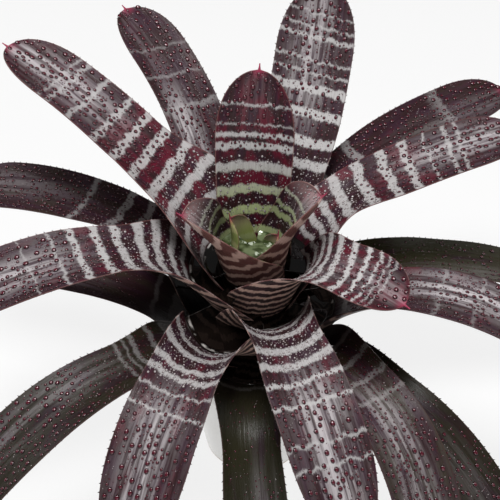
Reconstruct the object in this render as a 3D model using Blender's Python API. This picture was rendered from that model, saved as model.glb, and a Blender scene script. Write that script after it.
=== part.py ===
"""A tank bromeliad in a plain pot: pot, potting mix, short stem and one rosette of strap leaves.

Metres, +Z up. The origin is the centre of the pot's underside. Each leaf is one closed solid,
drawn along its midrib: a broad sheath wrapped round the crown's axis, a throat, a channelled
blade and a short point. Younger leaves start higher and nearer the axis than older ones.
"""
from collections import namedtuple
from math import cos, pi, sin

import bpy
import numpy as np

MM = 0.001
GAP = 0.3 * MM                  # between pieces that touch
TURN_STEPS = 36                 # facets round the turned pieces

# Pot: a plain tapered pot with a rolled rim, four drain holes round a solid centre
POT_HEIGHT = 126 * MM
POT_FOOT_RADIUS = 50 * MM
POT_MOUTH_RADIUS = 69 * MM      # outside, under the rim
POT_WALL = 4.5 * MM
POT_FLOOR = 6 * MM
RIM_RADIUS = 74 * MM
RIM_DEPTH = 15 * MM
RIM_ROUND = 2.2 * MM
DRAIN_HOLES = 4
DRAIN_RADIUS = 5 * MM
DRAIN_CIRCLE = 28 * MM

# Potting mix and stem
SOIL_TOP = 114 * MM
SOIL_DOME = 3 * MM
STEM_FOOT = 84 * MM             # the buried end of the stem
STEM_FOOT_RADIUS = 23 * MM

# Crown: leaf bases climb the stem in an even spiral order, oldest lowest and widest
CROWN_HEIGHT = 140 * MM         # the leaves' own height zero, above the floor
TOP_RADIUS = 13 * MM            # radius of the youngest leaf's base
TOP_HEIGHT = 21 * MM            # its height in the crown
RADIUS_STEP = 1.25 * MM         # per leaf
HEIGHT_STEP = 2.0 * MM          # per leaf

# Leaf section
BASE_THICK = 0.85 * MM
BLADE_THICK = 1.7 * MM
MARGIN_THIN = 0.45              # share of the thickness lost at the margin
POINT_LENGTH = 6 * MM           # the hard point past the rounded tip
POINT_HALF_WIDTH = 0.5 * MM
CUSP_LENGTH = 18 * MM           # the drawn-in shoulder that carries the point
CUSP_HALF_WIDTH = 7 * MM
POINT_TAPER = 1.5               # thickness at the point never passes this many half widths
PITCH_STATIONS = np.array([0, 50, 100, 160, 230, 330]) * MM
PITCH_BLUR = 22 * MM            # rounds the pitch polyline off at its stations

STATIONS = np.array([0, .06, .12, .18, .23, .28, .33, .38, .44, .52, .60, .68, .76, .83, .89, .94, .98, 1])
ACROSS = 7                      # points across a leaf
ACROSS_CUPPED = 9               # and across the young leaves that wrap the tank
CUPPED_LEAVES = 10

# One row a leaf, youngest first. Angles in degrees, lengths in millimetres.
#   azimuth: where the base points, from +X towards +Y; turn: how far the heading swings along the leaf
#   length: along the midrib; pitch: slope at each pitch station
#   blade, sheath: half widths; neck: where the sheath starts and ends its narrowing
#   free: where the sheath starts and ends leaving the round crown; cup: half angle of the channel
#   at the throat and along the blade, radians; twist: roll of the blade; tip: share where it rounds in
Leaf = namedtuple("Leaf", "azimuth turn length pitch blade sheath neck free cup twist tip")
LEAVES = (
    Leaf(20, 0, 98, (84, 85, 85, 80, 70, 66), 17, 26, (30, 80), (50, 100), (1.2, 1.0), 0, .80),
    Leaf(141, 29, 114, (81, 85, 85, 66, 54, 54), 23, 36, (40, 95), (60, 110), (1.2, 1.0), 0, .80),
    Leaf(346, 18, 164, (78, 83, 84, 46, 20, 10), 37, 52, (80, 140), (95, 145), (1.2, 0.9), 0, .80),
    Leaf(222, -36, 168, (77, 82, 77, 44, 12, 0), 36, 58, (85, 160), (95, 145), (1.2, 0.9), 0, .76),
    Leaf(92, -11, 242, (75, 78, 80, 75, 64, 59), 37, 44, (60, 150), (70, 140), (1.0, 0.5), 0, .74),
    Leaf(145, 10, 352, (74, 76, 61, 32, 32, 24), 36, 62, (95, 210), (80, 160), (1.1, 0.4), 0, .83),
    Leaf(312, 8, 230, (72, 74, 66, 18, -12, -34), 31, 60, (90, 170), (85, 150), (1.1, 0.5), 12, .80),
    Leaf(33, -18, 326, (72, 73, 52, 12, 12, 6), 32, 52, (70, 150), (80, 150), (1.0, 0.4), 10, .83),
    Leaf(193, 5, 352, (71, 68, 52, 12, -9, -19), 32, 62, (80, 170), (70, 140), (1.1, 0.4), -20, .83),
    Leaf(282, 11, 315, (71, 57, 33, -2, -34, -53), 35, 52, (60, 150), (50, 95), (1.25, 0.4), 0, .72),
    Leaf(68, 10, 328, (69, 65, 53, 47, 46, 54), 38, 43, (60, 140), (60, 130), (1.0, 0.4), 0, .80),
    Leaf(247, 3, 314, (53, 41, 39, -2, -37, -54), 35, 52, (75, 170), (50, 100), (1.4, 0.4), 0, .72),
    Leaf(53, -28, 362, (70, 63, 42, 18, 10, 6), 31, 38, (55, 140), (60, 130), (1.0, 0.4), 8, .85),
    Leaf(112, 19, 332, (66, 60, 60, 58, 40, 21), 30, 40, (60, 150), (60, 130), (1.0, 0.4), 0, .83),
    Leaf(150, 9, 338, (60, 52, 38, 5, -3, -22), 31, 42, (60, 150), (50, 100), (1.0, 0.4), -14, .85),
    Leaf(342, -2, 344, (61, 51, 40, 15, -18, -31), 33, 42, (60, 150), (50, 100), (0.9, 0.4), 0, .85),
    Leaf(308, -14, 348, (59, 45, 16, -5, -47, -61), 31, 42, (60, 150), (50, 100), (0.9, 0.4), 0, .85),
    Leaf(224, -16, 372, (55, 44, 18, 4, -25, -48), 31, 42, (60, 150), (50, 100), (0.7, 0.4), -14, .85),
    Leaf(267, 18, 306, (50, 38, -6, -48, -66, -80), 28, 42, (60, 150), (50, 100), (0.9, 0.4), 0, .85),
    Leaf(24, -21, 362, (52, 42, 14, -18, -18, -33), 31, 40, (60, 150), (40, 90), (0.9, 0.4), 0, .85),
    Leaf(176, 0, 240, (50, 42, 27, 15, 0, -20), 29, 38, (60, 150), (40, 90), (0.8, 0.4), 0, .85),
    Leaf(318, -4, 358, (50, 37, 8, -14, -37, -50), 29, 36, (60, 150), (40, 90), (0.8, 0.4), 0, .85),
)


def smooth(x):
    """A soft step from 0 at x = 0 to 1 at x = 1."""
    x = np.clip(x, 0, 1)
    return x * x * (3 - 2 * x)


def between(s, span):
    """The soft step of s across a (start, end) span in millimetres."""
    start, end = np.array(span) * MM
    return smooth((s - start) / (end - start))


def leaf_base(number):
    """Radius and height where leaf `number` (0 the youngest) leaves the stem."""
    return TOP_RADIUS + RADIUS_STEP * number, TOP_HEIGHT - HEIGHT_STEP * number


def midrib(leaf, number, s):
    """Points, headings and unit tangents of the midrib at arc lengths s: the tangent's slope is the
    rounded pitch polyline and its heading swings from azimuth to azimuth + turn; the points are its
    running sum from the base."""
    fine = np.linspace(0, s[-1], 400)
    shifts = np.linspace(-PITCH_BLUR, PITCH_BLUR, 9)
    pitch = np.mean([np.interp(fine + d, PITCH_STATIONS, leaf.pitch) for d in shifts], axis=0)
    pitch = np.radians(pitch)
    heading = np.radians(leaf.azimuth + leaf.turn * smooth((fine - 20 * MM) / (fine[-1] - 20 * MM)))
    flat = np.cos(pitch)
    tangent = np.stack([flat * np.cos(heading), flat * np.sin(heading), np.sin(pitch)], axis=-1)
    radius, height = leaf_base(number)
    start = [radius * cos(heading[0]), radius * sin(heading[0]), height]
    steps = (tangent[1:] + tangent[:-1]) / 2 * (fine[1] - fine[0])
    points = np.vstack([start, start + np.cumsum(steps, axis=0)])
    at = [np.stack([np.interp(s, fine, column) for column in table.T], axis=-1) for table in (points, tangent)]
    return at[0], np.interp(s, fine, heading), at[1] / np.linalg.norm(at[1], axis=1)[:, None]


def half_width(leaf, s):
    """Half width: the sheath fills out, narrows through the neck to the blade, and the blade rounds in
    to a concave cusp that ends in the hard point."""
    sheath = leaf.sheath * MM * (0.6 + 0.4 * smooth(s / (60 * MM)))
    rounded_length = leaf.length * MM
    neck = 0.88 + 0.12 * smooth((s / rounded_length - 0.3) / 0.35)
    narrow = between(s, leaf.neck)
    width = sheath * (1 - narrow) + leaf.blade * MM * neck * narrow
    x = np.clip((s / rounded_length - leaf.tip) / (1 - leaf.tip), 0, 1)
    left = np.clip((s[-1] - s) / CUSP_LENGTH, 0, 1)
    point = POINT_HALF_WIDTH + CUSP_HALF_WIDTH * left ** 2
    return np.maximum(width * np.sqrt(1 - x ** 2.3), point)


def leaf_surface(leaf, number, s, u):
    """Middle surface of a leaf over arc length s and u from -1 to 1 across it. Near its base it lies on
    the surface of revolution of its midrib round the crown's axis, and further out it is a circular
    channel of half angle `cup` square to the midrib, rolled by `twist`."""
    centre, heading, tangent = midrib(leaf, number, s)
    half = half_width(leaf, s)
    radius = np.hypot(centre[:, 0], centre[:, 1])
    angle = np.arctan2(centre[:, 1], centre[:, 0])[:, None] + u * (half / radius)[:, None]
    height = np.repeat(centre[:, 2:], len(u), axis=1)
    wrapped = np.stack([radius[:, None] * np.cos(angle), radius[:, None] * np.sin(angle), height], axis=-1)

    across = np.stack([-np.sin(heading), np.cos(heading), 0 * heading], axis=-1)
    normal = np.cross(tangent, across)
    roll = np.radians(leaf.twist) * smooth((s - 60 * MM) / (s[-1] - 60 * MM))[:, None]
    side = across * np.cos(roll) + normal * np.sin(roll)
    up = normal * np.cos(roll) - across * np.sin(roll)
    bend = leaf.cup[0] + (leaf.cup[1] - leaf.cup[0]) * between(s, (85, 200))
    arc = u * bend[:, None]
    arc_radius = (half / bend)[:, None]
    blade = centre[:, None] + (arc_radius * np.sin(arc))[..., None] * side[:, None]
    blade = blade + (arc_radius * (1 - np.cos(arc)))[..., None] * up[:, None]

    free = between(s, leaf.free)[:, None, None]
    return wrapped * (1 - free) + blade * free


def sheet_solid(surface, thickness):
    """Vertices and faces of the closed solid of a grid surface thickened half each way along its normals."""
    rows, columns = surface.shape[:2]
    normal = np.cross(np.gradient(surface, axis=1), np.gradient(surface, axis=0))
    normal = normal / np.linalg.norm(normal, axis=-1, keepdims=True)
    offset = normal * thickness[..., None] / 2
    vertices = np.concatenate([(surface - offset).reshape(-1, 3), (surface + offset).reshape(-1, 3)])
    index = np.arange(rows * columns).reshape(rows, columns)
    quads = np.stack([index[:-1, :-1], index[:-1, 1:], index[1:, 1:], index[1:, :-1]], axis=-1).reshape(-1, 4)
    inner = quads[:, ::-1]
    outer = quads + rows * columns
    edge = np.concatenate([index[0, :-1], index[:-1, -1], index[-1, :0:-1], index[:0:-1, 0]])
    following = np.roll(edge, -1)
    border = np.stack([edge, following, following + rows * columns, edge + rows * columns], axis=-1)
    return vertices, np.concatenate([inner, outer, border])


def material(name, colour, roughness):
    """A plain Principled material."""
    made = bpy.data.materials.new(name)
    made.use_nodes = True
    shader = made.node_tree.nodes["Principled BSDF"]
    shader.inputs["Base Color"].default_value = (*colour, 1)
    shader.inputs["Roughness"].default_value = roughness
    return made


def mesh_object(name, vertices, faces, made):
    """A smooth-shaded mesh object with one material."""
    mesh = bpy.data.meshes.new(name)
    mesh.from_pydata(np.asarray(vertices).tolist(), [], np.asarray(faces).tolist() if len(faces) else [])
    mesh.materials.append(made)
    mesh.shade_smooth()
    piece = bpy.data.objects.new(name, mesh)
    bpy.context.collection.objects.link(piece)
    return piece


def turned_object(name, profile, steps, made):
    """A solid turned round Z from a profile of (radius, height) points that runs down its outer side."""
    mesh = bpy.data.meshes.new(name)
    points = [(radius, 0, height) for radius, height in profile]
    mesh.from_pydata(points, [(i, i + 1) for i in range(len(points) - 1)], [])
    mesh.materials.append(made)
    piece = bpy.data.objects.new(name, mesh)
    bpy.context.collection.objects.link(piece)
    screw = piece.modifiers.new("Turn", "SCREW")
    screw.steps = steps
    screw.render_steps = steps
    screw.use_merge_vertices = True
    screw.merge_threshold = 0.00001
    return piece


def arc(centre_radius, centre_height, round_radius, start, end, count=4):
    """Profile points on a circular arc, angles in degrees from straight out, anticlockwise."""
    angles = np.radians(np.linspace(start, end, count))
    return [(centre_radius + round_radius * cos(a), centre_height + round_radius * sin(a)) for a in angles]


def pot_wall_radius(height):
    """Outside radius of the tapered wall."""
    return POT_FOOT_RADIUS + (POT_MOUTH_RADIUS - POT_FOOT_RADIUS) * height / POT_HEIGHT


def make_pot(made):
    """The pot, with its drain holes bored by a Boolean."""
    inside_foot = pot_wall_radius(POT_FLOOR) - POT_WALL
    inside_mouth = pot_wall_radius(POT_HEIGHT) - POT_WALL
    profile = [(0, POT_FLOOR)]
    profile += arc(inside_foot - 4 * MM, POT_FLOOR + 4 * MM, 4 * MM, -90, 0)
    profile += arc(inside_mouth + RIM_ROUND, POT_HEIGHT - RIM_ROUND, RIM_ROUND, 180, 90)
    profile += arc(RIM_RADIUS - RIM_ROUND, POT_HEIGHT - RIM_ROUND, RIM_ROUND, 90, 0)
    profile += arc(RIM_RADIUS - RIM_ROUND, POT_HEIGHT - RIM_DEPTH + RIM_ROUND, RIM_ROUND, 0, -90)
    profile += [(pot_wall_radius(POT_HEIGHT - RIM_DEPTH), POT_HEIGHT - RIM_DEPTH)]
    profile += arc(POT_FOOT_RADIUS - 2 * MM, 2 * MM, 2 * MM, 0, -90)
    profile += [(0, 0)]
    pot = turned_object("pot", profile, TURN_STEPS, made)
    for k in range(DRAIN_HOLES):
        turn = 2 * pi * (k + 0.5) / DRAIN_HOLES
        bpy.ops.mesh.primitive_cylinder_add(
            vertices=20, radius=DRAIN_RADIUS, depth=4 * POT_FLOOR,
            location=(DRAIN_CIRCLE * cos(turn), DRAIN_CIRCLE * sin(turn), 0))
        cutter = bpy.context.object
        cutter.name = f"drain_cutter_{k}"
        cutter.hide_render = True
        cutter.display_type = "WIRE"
        bore = pot.modifiers.new(f"Drain {k}", "BOOLEAN")
        bore.object = cutter
        bore.operation = "DIFFERENCE"
    return pot


def make_soil(made):
    """Potting mix: fills the pot to SOIL_TOP, slightly domed, with a well that holds the stem."""
    clear = POT_WALL + GAP
    well = STEM_FOOT_RADIUS + GAP
    low = POT_FLOOR + GAP
    profile = [(0, STEM_FOOT - GAP), (well, STEM_FOOT - GAP), (well, SOIL_TOP + SOIL_DOME)]
    profile += [(pot_wall_radius(SOIL_TOP) - clear - 12 * MM, SOIL_TOP + 0.6 * SOIL_DOME)]
    profile += [(pot_wall_radius(SOIL_TOP) - clear, SOIL_TOP)]
    profile += [(pot_wall_radius(low) - clear, low + 4 * MM), (pot_wall_radius(low) - clear - 4 * MM, low)]
    profile += [(0, low)]
    return turned_object("potting_mix", profile, TURN_STEPS, made)


def make_stem(made):
    """The short stem: a cone whose side stays just inside every leaf base, over a buried foot."""
    inset = BASE_THICK / 2 + 4 * GAP
    oldest_radius, oldest_height = leaf_base(len(LEAVES) - 1)
    youngest_radius, youngest_height = leaf_base(0)
    profile = [(0, CROWN_HEIGHT + youngest_height + 4 * MM)]
    profile += [(youngest_radius - inset - 6 * MM, CROWN_HEIGHT + youngest_height + 2 * MM)]
    profile += [(youngest_radius - inset - 1 * MM, CROWN_HEIGHT + youngest_height)]
    profile += [(oldest_radius - inset - 1 * MM, CROWN_HEIGHT + oldest_height)]
    profile += [(STEM_FOOT_RADIUS, SOIL_TOP + SOIL_DOME + 1 * MM)]
    profile += [(STEM_FOOT_RADIUS, STEM_FOOT + 3 * MM), (STEM_FOOT_RADIUS - 3 * MM, STEM_FOOT), (0, STEM_FOOT)]
    return turned_object("stem", profile, TURN_STEPS, made)


def make_leaf(leaf, number, crown, made):
    """One leaf, in the crown's frame."""
    s = STATIONS * (leaf.length * MM + POINT_LENGTH)
    u = np.linspace(-1, 1, ACROSS_CUPPED if number < CUPPED_LEAVES else ACROSS)
    surface = leaf_surface(leaf, number, s, u)
    along = BASE_THICK + (BLADE_THICK - BASE_THICK) * smooth((s - 30 * MM) / (80 * MM))
    along = np.minimum(along, POINT_TAPER * half_width(leaf, s))
    thickness = along[:, None] * (1 - MARGIN_THIN * u ** 2)
    vertices, faces = sheet_solid(surface, thickness)
    piece = mesh_object(f"leaf_{number + 1:02d}", vertices, faces, made)
    piece.parent = crown
    return piece


def main():
    for old in list(bpy.data.objects):
        bpy.data.objects.remove(old)
    make_pot(material("pot ceramic", (0.80, 0.79, 0.77), 0.35))
    make_soil(material("potting mix", (0.035, 0.024, 0.016), 0.95))
    make_stem(material("stem tissue", (0.16, 0.13, 0.06), 0.7))
    crown = bpy.data.objects.new("crown", None)
    crown.location = (0, 0, CROWN_HEIGHT)
    bpy.context.collection.objects.link(crown)
    young = (0.10, 0.14, 0.04)
    banded = (0.075, 0.018, 0.025)
    older = (0.035, 0.030, 0.018)
    for number, leaf in enumerate(LEAVES):
        colour = young if number < 2 else banded if number < 14 else older
        make_leaf(leaf, number, crown, material(f"leaf {number + 1}", colour, 0.4))


main()
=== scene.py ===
"""A tank bromeliad in a glazed pot: banded strap leaves, standing water and dew, on a pale floor.

Every leaf, the pot, the stem and the potting mix are worked out again on fine grids and stand for
their plain CAD nodes. Metres, +Z up, the origin at the centre of the pot's underside.
"""

from collections import namedtuple
from math import cos, pi, radians, sin

import bpy
import numpy as np
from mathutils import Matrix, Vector


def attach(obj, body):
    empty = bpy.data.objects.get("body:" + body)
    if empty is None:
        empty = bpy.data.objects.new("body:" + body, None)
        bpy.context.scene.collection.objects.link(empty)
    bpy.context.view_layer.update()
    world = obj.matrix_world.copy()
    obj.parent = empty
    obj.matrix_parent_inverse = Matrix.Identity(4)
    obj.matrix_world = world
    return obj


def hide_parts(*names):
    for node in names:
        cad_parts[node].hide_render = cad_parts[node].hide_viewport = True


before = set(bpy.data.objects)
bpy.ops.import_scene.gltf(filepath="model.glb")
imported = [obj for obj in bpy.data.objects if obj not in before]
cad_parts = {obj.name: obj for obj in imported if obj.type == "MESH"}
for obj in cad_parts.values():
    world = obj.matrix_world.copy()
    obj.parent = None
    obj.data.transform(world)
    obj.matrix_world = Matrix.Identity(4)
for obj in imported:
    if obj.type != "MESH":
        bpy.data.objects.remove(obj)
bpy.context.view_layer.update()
MM = 0.001
COLLECTION = bpy.context.scene.collection

# The pot, the mix and the stem, as in the CAD
POT_HEIGHT = 126 * MM
POT_FOOT_RADIUS = 50 * MM
POT_MOUTH_RADIUS = 69 * MM
POT_WALL = 4.5 * MM
POT_FLOOR = 6 * MM
RIM_RADIUS = 74 * MM
RIM_DEPTH = 15 * MM
RIM_ROUND = 2.2 * MM
DRAIN_HOLES = 4
DRAIN_RADIUS = 5 * MM
DRAIN_CIRCLE = 28 * MM
SOIL_TOP = 114 * MM
SOIL_DOME = 3 * MM
STEM_FOOT = 84 * MM
STEM_FOOT_RADIUS = 23 * MM
TURN_STEPS = 144
CHIPS = 420                     # pieces of bark lying on the mix

# The crown, as in the CAD
CROWN_HEIGHT = 140 * MM
TOP_RADIUS = 13 * MM
TOP_HEIGHT = 21 * MM
RADIUS_STEP = 1.25 * MM
HEIGHT_STEP = 2.0 * MM
BASE_THICK = 0.85 * MM
BLADE_THICK = 1.7 * MM
MARGIN_THIN = 0.45
POINT_LENGTH = 6 * MM
POINT_HALF_WIDTH = 0.5 * MM
POINT_TAPER = 1.5
CUSP_LENGTH = 18 * MM          # the drawn-in shoulder that carries the point
CUSP_HALF_WIDTH = 7 * MM
PITCH_STATIONS = np.array([0, 50, 100, 160, 230, 330]) * MM
PITCH_BLUR = 22 * MM

# Finer leaf detail than the CAD holds
STATION_STEP = 2.2 * MM
ACROSS = 33
GROOVE_DEPTH = 0.35 * MM        # the shallow valley down the middle
GROOVE_WIDTH = 2.2 * MM
MARGIN_WAVE = 0.5 * MM          # how far the margins ripple
TOOTH_SPACING = 6.5 * MM
TOOTH_LENGTH = 1.7 * MM
TOOTH_HALF_BASE = 0.8 * MM
BAND_TENT = 12 * MM             # how far a band's influence reaches past its edge
RAMP_LENGTH = 400               # millimetres of leaf that a ramp of bands covers
DEW_DENSITY = 3.1               # drops a square centimetre for a dew of one, before any that overlap go
DROP_SIDES = 7

# One row a leaf, youngest first: angles in degrees, lengths in millimetres
Leaf = namedtuple("Leaf", "azimuth turn length pitch blade sheath neck free cup twist tip")
LEAVES = (
    Leaf(20, 0, 98, (84, 85, 85, 80, 70, 66), 17, 26, (30, 80), (50, 100), (1.2, 1.0), 0, .80),
    Leaf(141, 29, 114, (81, 85, 85, 66, 54, 54), 23, 36, (40, 95), (60, 110), (1.2, 1.0), 0, .80),
    Leaf(346, 18, 164, (78, 83, 84, 46, 20, 10), 37, 52, (80, 140), (95, 145), (1.2, 0.9), 0, .80),
    Leaf(222, -36, 168, (77, 82, 77, 44, 12, 0), 36, 58, (85, 160), (95, 145), (1.2, 0.9), 0, .76),
    Leaf(92, -11, 242, (75, 78, 80, 75, 64, 59), 37, 44, (60, 150), (70, 140), (1.0, 0.5), 0, .74),
    Leaf(145, 10, 352, (74, 76, 61, 32, 32, 24), 36, 62, (95, 210), (80, 160), (1.1, 0.4), 0, .83),
    Leaf(312, 8, 230, (72, 74, 66, 18, -12, -34), 31, 60, (90, 170), (85, 150), (1.1, 0.5), 12, .80),
    Leaf(33, -18, 326, (72, 73, 52, 12, 12, 6), 32, 52, (70, 150), (80, 150), (1.0, 0.4), 10, .83),
    Leaf(193, 5, 352, (71, 68, 52, 12, -9, -19), 32, 62, (80, 170), (70, 140), (1.1, 0.4), -20, .83),
    Leaf(282, 11, 315, (71, 57, 33, -2, -34, -53), 35, 52, (60, 150), (50, 95), (1.25, 0.4), 0, .72),
    Leaf(68, 10, 328, (69, 65, 53, 47, 46, 54), 38, 43, (60, 140), (60, 130), (1.0, 0.4), 0, .80),
    Leaf(247, 3, 314, (53, 41, 39, -2, -37, -54), 35, 52, (75, 170), (50, 100), (1.4, 0.4), 0, .72),
    Leaf(53, -28, 362, (70, 63, 42, 18, 10, 6), 31, 38, (55, 140), (60, 130), (1.0, 0.4), 8, .85),
    Leaf(112, 19, 332, (66, 60, 60, 58, 40, 21), 30, 40, (60, 150), (60, 130), (1.0, 0.4), 0, .83),
    Leaf(150, 9, 338, (60, 52, 38, 5, -3, -22), 31, 42, (60, 150), (50, 100), (1.0, 0.4), -14, .85),
    Leaf(342, -2, 344, (61, 51, 40, 15, -18, -31), 33, 42, (60, 150), (50, 100), (0.9, 0.4), 0, .85),
    Leaf(308, -14, 348, (59, 45, 16, -5, -47, -61), 31, 42, (60, 150), (50, 100), (0.9, 0.4), 0, .85),
    Leaf(224, -16, 372, (55, 44, 18, 4, -25, -48), 31, 42, (60, 150), (50, 100), (0.7, 0.4), -14, .85),
    Leaf(267, 18, 306, (50, 38, -6, -48, -66, -80), 28, 42, (60, 150), (50, 100), (0.9, 0.4), 0, .85),
    Leaf(24, -21, 362, (52, 42, 14, -18, -18, -33), 31, 40, (60, 150), (40, 90), (0.9, 0.4), 0, .85),
    Leaf(176, 0, 240, (50, 42, 27, 15, 0, -20), 29, 38, (60, 150), (40, 90), (0.8, 0.4), 0, .85),
    Leaf(318, -4, 358, (50, 37, 8, -14, -37, -50), 29, 36, (60, 150), (40, 90), (0.8, 0.4), 0, .85),
)

# One row a leaf for its colours. bands: (place along the leaf, width) in millimetres; slant: how much
# further out the right-hand margin's bands lie than the left's, near the base and near the tip;
# strength: how silver the bands are; flush: crimson patches; green: olive share; film, with its painted
# sheen: where the grey film starts and ends filling in, and how strong it is; it is partly the leaf's
# own waxy scurf and partly a painted sheen; side: the film's centre across the leaf; dew: how thickly the
# drops lie; outer: slant of the underside's narrow bands; fade: where the film and its sheen thin out again
Look = namedtuple("Look", "bands slant strength flush green film side dew outer fade", defaults=(0, 400))
LOOKS = (
    Look(((40, 6), (60, 6), (80, 6)), (0, 0), .5, .2, .9, (60, 120, .1), 0, 0),
    Look(((50, 6), (68, 6), (86, 6)), (0, 0), .6, .4, .6, (90, 130, .5), 0, 0),
    Look(((62, 6), (80, 7), (97, 8), (118, 7), (128, 5), (142, 3)), (-6, 0), .9, .5, .2,
         (140, 170, .7), 0, 2),
    Look(((62, 6), (80, 7), (98, 8), (114, 7), (132, 5), (146, 3)), (6, 0), .8, .5, .2,
         (140, 170, .7), 0, 2, -18),
    Look(((72, 8), (91, 9), (112, 9), (133, 9), (155, 9), (174, 7), (184, 5), (194, 2), (212, 3)),
         (0, 0), 1, .75, .1, (195, 270, .22), 0, 3),
    Look(((80, 6), (98, 7), (123, 8), (145, 9), (167, 10), (191, 10), (213, 9), (236, 8), (265, 6),
          (288, 6), (297, 3)), (-16, 2), .92, .82, .1, (215, 280, .8), -.1, 6),
    Look(((82, 5), (97, 6), (112, 7), (128, 7), (141, 7), (155, 7), (171, 6), (184, 5), (194, 3), (201, 2),
          (207, 2)), (-20, 6), 1.2, .8, 0, (130, 210, .32), .1, 4),
    Look(((82, 6), (99, 6), (112, 7), (126, 8), (144, 10), (168, 11), (193, 10), (215, 9), (236, 3),
          (257, 5), (268, 4)), (10, 10), .95, .72, 0, (190, 270, .8), .2, 5),
    Look(((83, 5), (98, 6), (112, 7), (128, 8), (143, 8), (162, 8), (180, 8), (200, 7), (218, 3), (244, 2)),
         (-12, -8), .95, .55, 0, (190, 260, .75), 0, 5),
    Look(((84, 6), (101, 7), (119, 9), (143, 9), (161, 8), (179, 5), (199, 4), (232, 3), (250, 3)),
         (-4, 2), .95, .5, 0, (165, 215, .85), .1, 7),
    Look(((110, 8), (134, 9), (157, 10), (179, 10), (205, 9), (228, 9), (243, 3), (255, 3),
          (277, 5), (287, 3), (300, 2)), (4, 12), 1.15, .3, 0, (185, 235, .65), .1, 5),
    Look(((84, 5), (108, 7), (125, 8), (146, 7), (158, 6), (174, 3), (192, 3)), (2, 6), .9, .5, 0,
         (165, 225, .75), -.1, 7),
    Look(((90, 7), (115, 7), (152, 6), (190, 8), (297, 3)), (0, 4), .5, .35, .3, (200, 300, .2), -.3, 5),
    Look(((90, 7), (120, 7), (150, 7), (217, 3), (250, 3), (280, 3)), (0, 10), .45, .45, .1,
         (105, 165, .85), .35, 5, 0, 195),
    Look(((90, 7), (112, 7), (137, 7), (158, 8), (198, 5)), (0, 0), .5, .15, .3, (170, 300, .25), -.2, 5),
    Look(((70, 6), (88, 7), (110, 7), (140, 6), (182, 3), (215, 3)), (0, 0), .4, .4, .2,
         (140, 195, .9), .3, 7),
    Look(((70, 6), (92, 6), (118, 6), (142, 6), (164, 5)), (0, 0), .3, .15, .5, (140, 190, .5), -.05, 5),
    Look(((80, 6), (101, 6), (122, 6), (131, 3), (140, 4)), (0, 0), .3, .25, .7, (135, 190, .22), -.4, 5),
    Look(((60, 5), (80, 5)), (0, 0), .2, .1, .9, (150, 200, .2), .25, 1),
    Look(((80, 5), (105, 5)), (0, 0), .2, .1, .9, (130, 240, .2), -.45, 2),
    Look(((60, 5), (80, 5)), (0, 0), .3, .1, .4, (120, 220, .3), 0, 2),
    Look(((60, 5), (80, 5)), (0, 0), .2, .35, .7, (150, 300, .15), 0, 2),
)

# Leaves that are coloured in their own way, counted from nought
HEART_LEAVES = 2                # so many of the youngest are small and green
PINK_ENDED = 4                  # so many of the youngest blush pink at the end
PALE_MARGINS = 9                # so many of the youngest have tan margins that show well
BANDED_LEAVES = 12              # so many of the youngest are bright, and the rest are older and darker
GREEN_BANDED = (2, 3, 4)        # their lower bands are pale green
SHADED_DARK_BASES = 10                 # from this one on, the bases are near black: partly their own dark brown, partly painted shade deep in the crown
SHADED_LOW_LEAVES = (17, 18, 21)      # the lowest ones, darkened: partly a deeper own colour, partly painted shade under the leaves above

# Colours of the leaves (linear light)
MAROON = (0.017, 0.0042, 0.0055, 1)
PLUM = (0.022, 0.0055, 0.013, 1)
# Near black of the old leaf bases: partly their own colour, partly painted shade
DEEP_BROWN_AND_SHADE = (0.004, 0.0025, 0.0025, 1)
CRIMSON = (0.072, 0.0022, 0.011, 1)
OLIVE = (0.019, 0.0185, 0.0035, 1)
SILVER = (0.38, 0.368, 0.366, 1)
PALE_GREEN = (0.33, 0.38, 0.19, 1)
# Grey of the waxy film: partly the leaf's own scurf, partly a painted sheen
FILM_AND_SHEEN = (0.41, 0.38, 0.39, 1)
HEART_GREEN = (0.19, 0.23, 0.065, 1)
HEART_PINK = (0.40, 0.25, 0.25, 1)
BROWN = (0.020, 0.008, 0.006, 1)
RUSSET = (0.095, 0.023, 0.015, 1)
TAN = (0.70, 0.47, 0.39, 1)
TIP_PINK = (0.26, 0.028, 0.065, 1)
MARGIN_TAN = (0.15, 0.065, 0.060, 1)

# Standing water: which leaf's axil holds it (counted from nought), and its height
POOLS = ((5, 238 * MM), (6, 215 * MM), (7, 230 * MM), (8, 228 * MM), (9, 198 * MM), (10, 225 * MM),
         (11, 205 * MM), (12, 210 * MM), (13, 210 * MM), (14, 200 * MM), (15, 190 * MM), (16, 172 * MM),
         (17, 168 * MM), (18, 169 * MM))
TANK_LEAVES = (2, 3)            # the two that wrap the central tank
TANK_LEVEL = 247 * MM
POOL_HEART = 12 * MM            # how near the crown's middle a pool draws in where no leaf holds it
WATER_CLIMB = 0.9 * MM          # how far water climbs a leaf's wall

# The camera, lamps, sky and floor
CAMERA_TARGET = Vector((-4.5 * MM, 0, 248 * MM))
CAMERA_ELEVATION = radians(40)
CAMERA_DISTANCE = 1062.5 * MM
CAMERA_LENS = 85
LAMPS = (                       # name, place, size and power
    ("overhead", (-0.10, -0.30, 1.85), 0.55, 35),
    ("front", (0.2, -1.7, 0.7), 1.2, 7),
    ("left", (-1.5, 0.5, 1.0), 0.9, 7),
    ("right", (1.5, 0.4, 1.1), 0.9, 7),
)
SKY_STRENGTH = 0.13
FLOOR_REACH = 9.0
FLOOR_GLOW = 0.815


# ---------------------------------------------------------------- materials

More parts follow.
